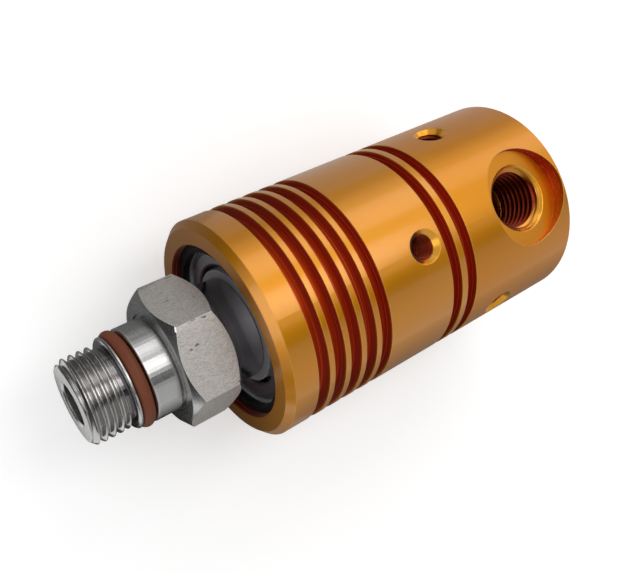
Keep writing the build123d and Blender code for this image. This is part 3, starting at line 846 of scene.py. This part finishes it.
def meshFromTree(name, tree, inputs):
    # runs the tree on an empty mesh and keeps the plain result
    carrier = addObject(name + "Carrier", bpy.data.meshes.new(name + "Carrier"))
    modifier = carrier.modifiers.new(name, "NODES")
    modifier.node_group = tree
    for item in tree.interface.items_tree:
        if item.item_type == "SOCKET" and item.in_out == "INPUT" and item.name in inputs:
            modifier[item.identifier] = inputs[item.name]
    graph = bpy.context.evaluated_depsgraph_get()
    mesh = bpy.data.meshes.new_from_object(carrier.evaluated_get(graph), depsgraph=graph)
    mesh.name = name
    bpy.data.objects.remove(carrier)
    work = bmesh.new()
    work.from_mesh(mesh)
    bmesh.ops.recalc_face_normals(work, faces=work.faces)
    work.to_mesh(mesh)
    work.free()
    return mesh


threadTree = makeThreadTree()


def makeThread(name, values, material, body):
    lengths = {
        "Crest Radius": "crest", "Root Radius": "root", "Back Radius": "back", "Pitch": "pitch",
        "Length": "length", "Crest Width": "land", "Start Chamfer": "startChamfer",
        "End Chamfer": "endChamfer", "Mouth Radius": "mouth", "Station": "station",
    }
    inputs = {socket: values[key] * mm for socket, key in lengths.items()}
    inputs.update({
        "Flank Slope": values["slope"], "Hand": values["hand"], "Tilt": values["tilt"],
        "Start Angle": values["angle"], "Copies": values["copies"], "Facets": values["facets"],
        "Columns per Turn": values["columns"], "Material": material})
    mesh = meshFromTree(name, threadTree, inputs)
    showPiece(name, mesh, body)
    print(name, len(mesh.polygons), "faces")


# female threads of the housing, in mm and degrees
portThread = {
    "station": portStation, "mouth": 18.28, "length": 10.5, "crest": 5.76, "root": 6.55, "back": 6.64,
    "pitch": 1.337, "land": 0.18, "slope": 1.92, "startChamfer": 0.79, "endChamfer": 0.0,
    "hand": 1.0, "tilt": -90.0, "angle": 90.0, "copies": 1, "facets": 144, "columns": 16,
}
ventThreads = {
    "station": 48.10, "mouth": 20.95, "length": 5.6, "crest": 2.09, "root": 2.48, "back": 2.56,
    "pitch": 0.8, "land": 0.12, "slope": 1.73, "startChamfer": 0.39, "endChamfer": 0.0,
    "hand": 1.0, "tilt": -90.0, "angle": 90.0, "copies": 3, "facets": 72, "columns": 10,
}
fixingThreads = dict(ventThreads, station=68.50, length=6.9, angle=30.0)

makeThread("portThread", portThread, gold["portThread"], "housing")
makeThread("ventThreads", ventThreads, gold["holeThread"], "housing")
makeThread("fixingThreads", fixingThreads, gold["holeThread"], "housing")


# rotor: the frame's solid with its thread cylinder turned down to the root, and a real thread over it
rotorSet = {
    "thread": (-16.5, -9.5),
    "root": 7.06,
    "hexAcrossFlats": 24.0,
    "shadedParts": ((-9.48, -8.45), (10.2, 16.2)),    # painted shade: the thread's relief and the neck get a darker copy of the stainless
    "smoothAngle": 20,
}
rotorThread = {
    "station": -16.5, "mouth": 0.0, "length": 7.0, "crest": 8.0, "root": 7.07, "back": 6.9,
    "pitch": 1.5, "land": 0.2, "slope": 1.73, "startChamfer": 0.95, "endChamfer": 0.35,
    "hand": -1.0, "tilt": 0.0, "angle": 0.0, "copies": 1, "facets": 160, "columns": 20,
}


def makeRotor(values):
    work = mergedCopy("rotor")
    slack = 0.001 * mm
    start, end = (station * mm for station in values["thread"])
    root = values["root"] * mm
    for vertex in work.verts:
        out = Vector((0, vertex.co.y, vertex.co.z))
        if start - slack < vertex.co.x < end + slack and out.length > root:
            out *= root / out.length
            vertex.co.y, vertex.co.z = out.y, out.z
    bmesh.ops.dissolve_degenerate(work, edges=work.edges, dist=weld)
    bmesh.ops.recalc_face_normals(work, faces=work.faces)

    # the six flats face straight out and are ground; everything else is turned, with painted shade on
    # the relief and the neck
    flat = values["hexAcrossFlats"] / 2 * mm
    for face in work.faces:
        middle = face.calc_center_median()
        straightOut = abs(face.normal.x) < 0.01 and abs(face.normal.dot(middle) - flat) < 0.02 * mm
        onFlat = straightOut and middle.yz.length > flat - 0.01 * mm
        inShade = any(low * mm < middle.x < high * mm for low, high in values["shadedParts"])
        face.material_index = 1 if onFlat else 2 if inShade else 0
    mesh = newMesh("rotorBody", work, steel["stainless"], steel["hexFlats"], steel["shadedSteel"])
    body = showPiece("rotorBody", mesh, "rotor", values["smoothAngle"])
    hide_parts("rotor")
    print("rotor made:", len(mesh.polygons), "faces")


makeRotor(rotorSet)
makeThread("rotorThread", rotorThread, steel["shadedThreadSteel"], "rotor")


# seal spring: the frame's coil, copied as a piece of its own
springSet = {"seat": 62.22, "travel": 1.5, "smoothAngle": 40}


def makeSealSpring(values):
    mesh = newMesh("sealSpring", mergedCopy("seal_spring"), steel["springWire"])
    spring = showPiece("sealSpring", mesh, "housing", values["smoothAngle"])
    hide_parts("seal_spring")
    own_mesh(spring)


makeSealSpring(springSet)
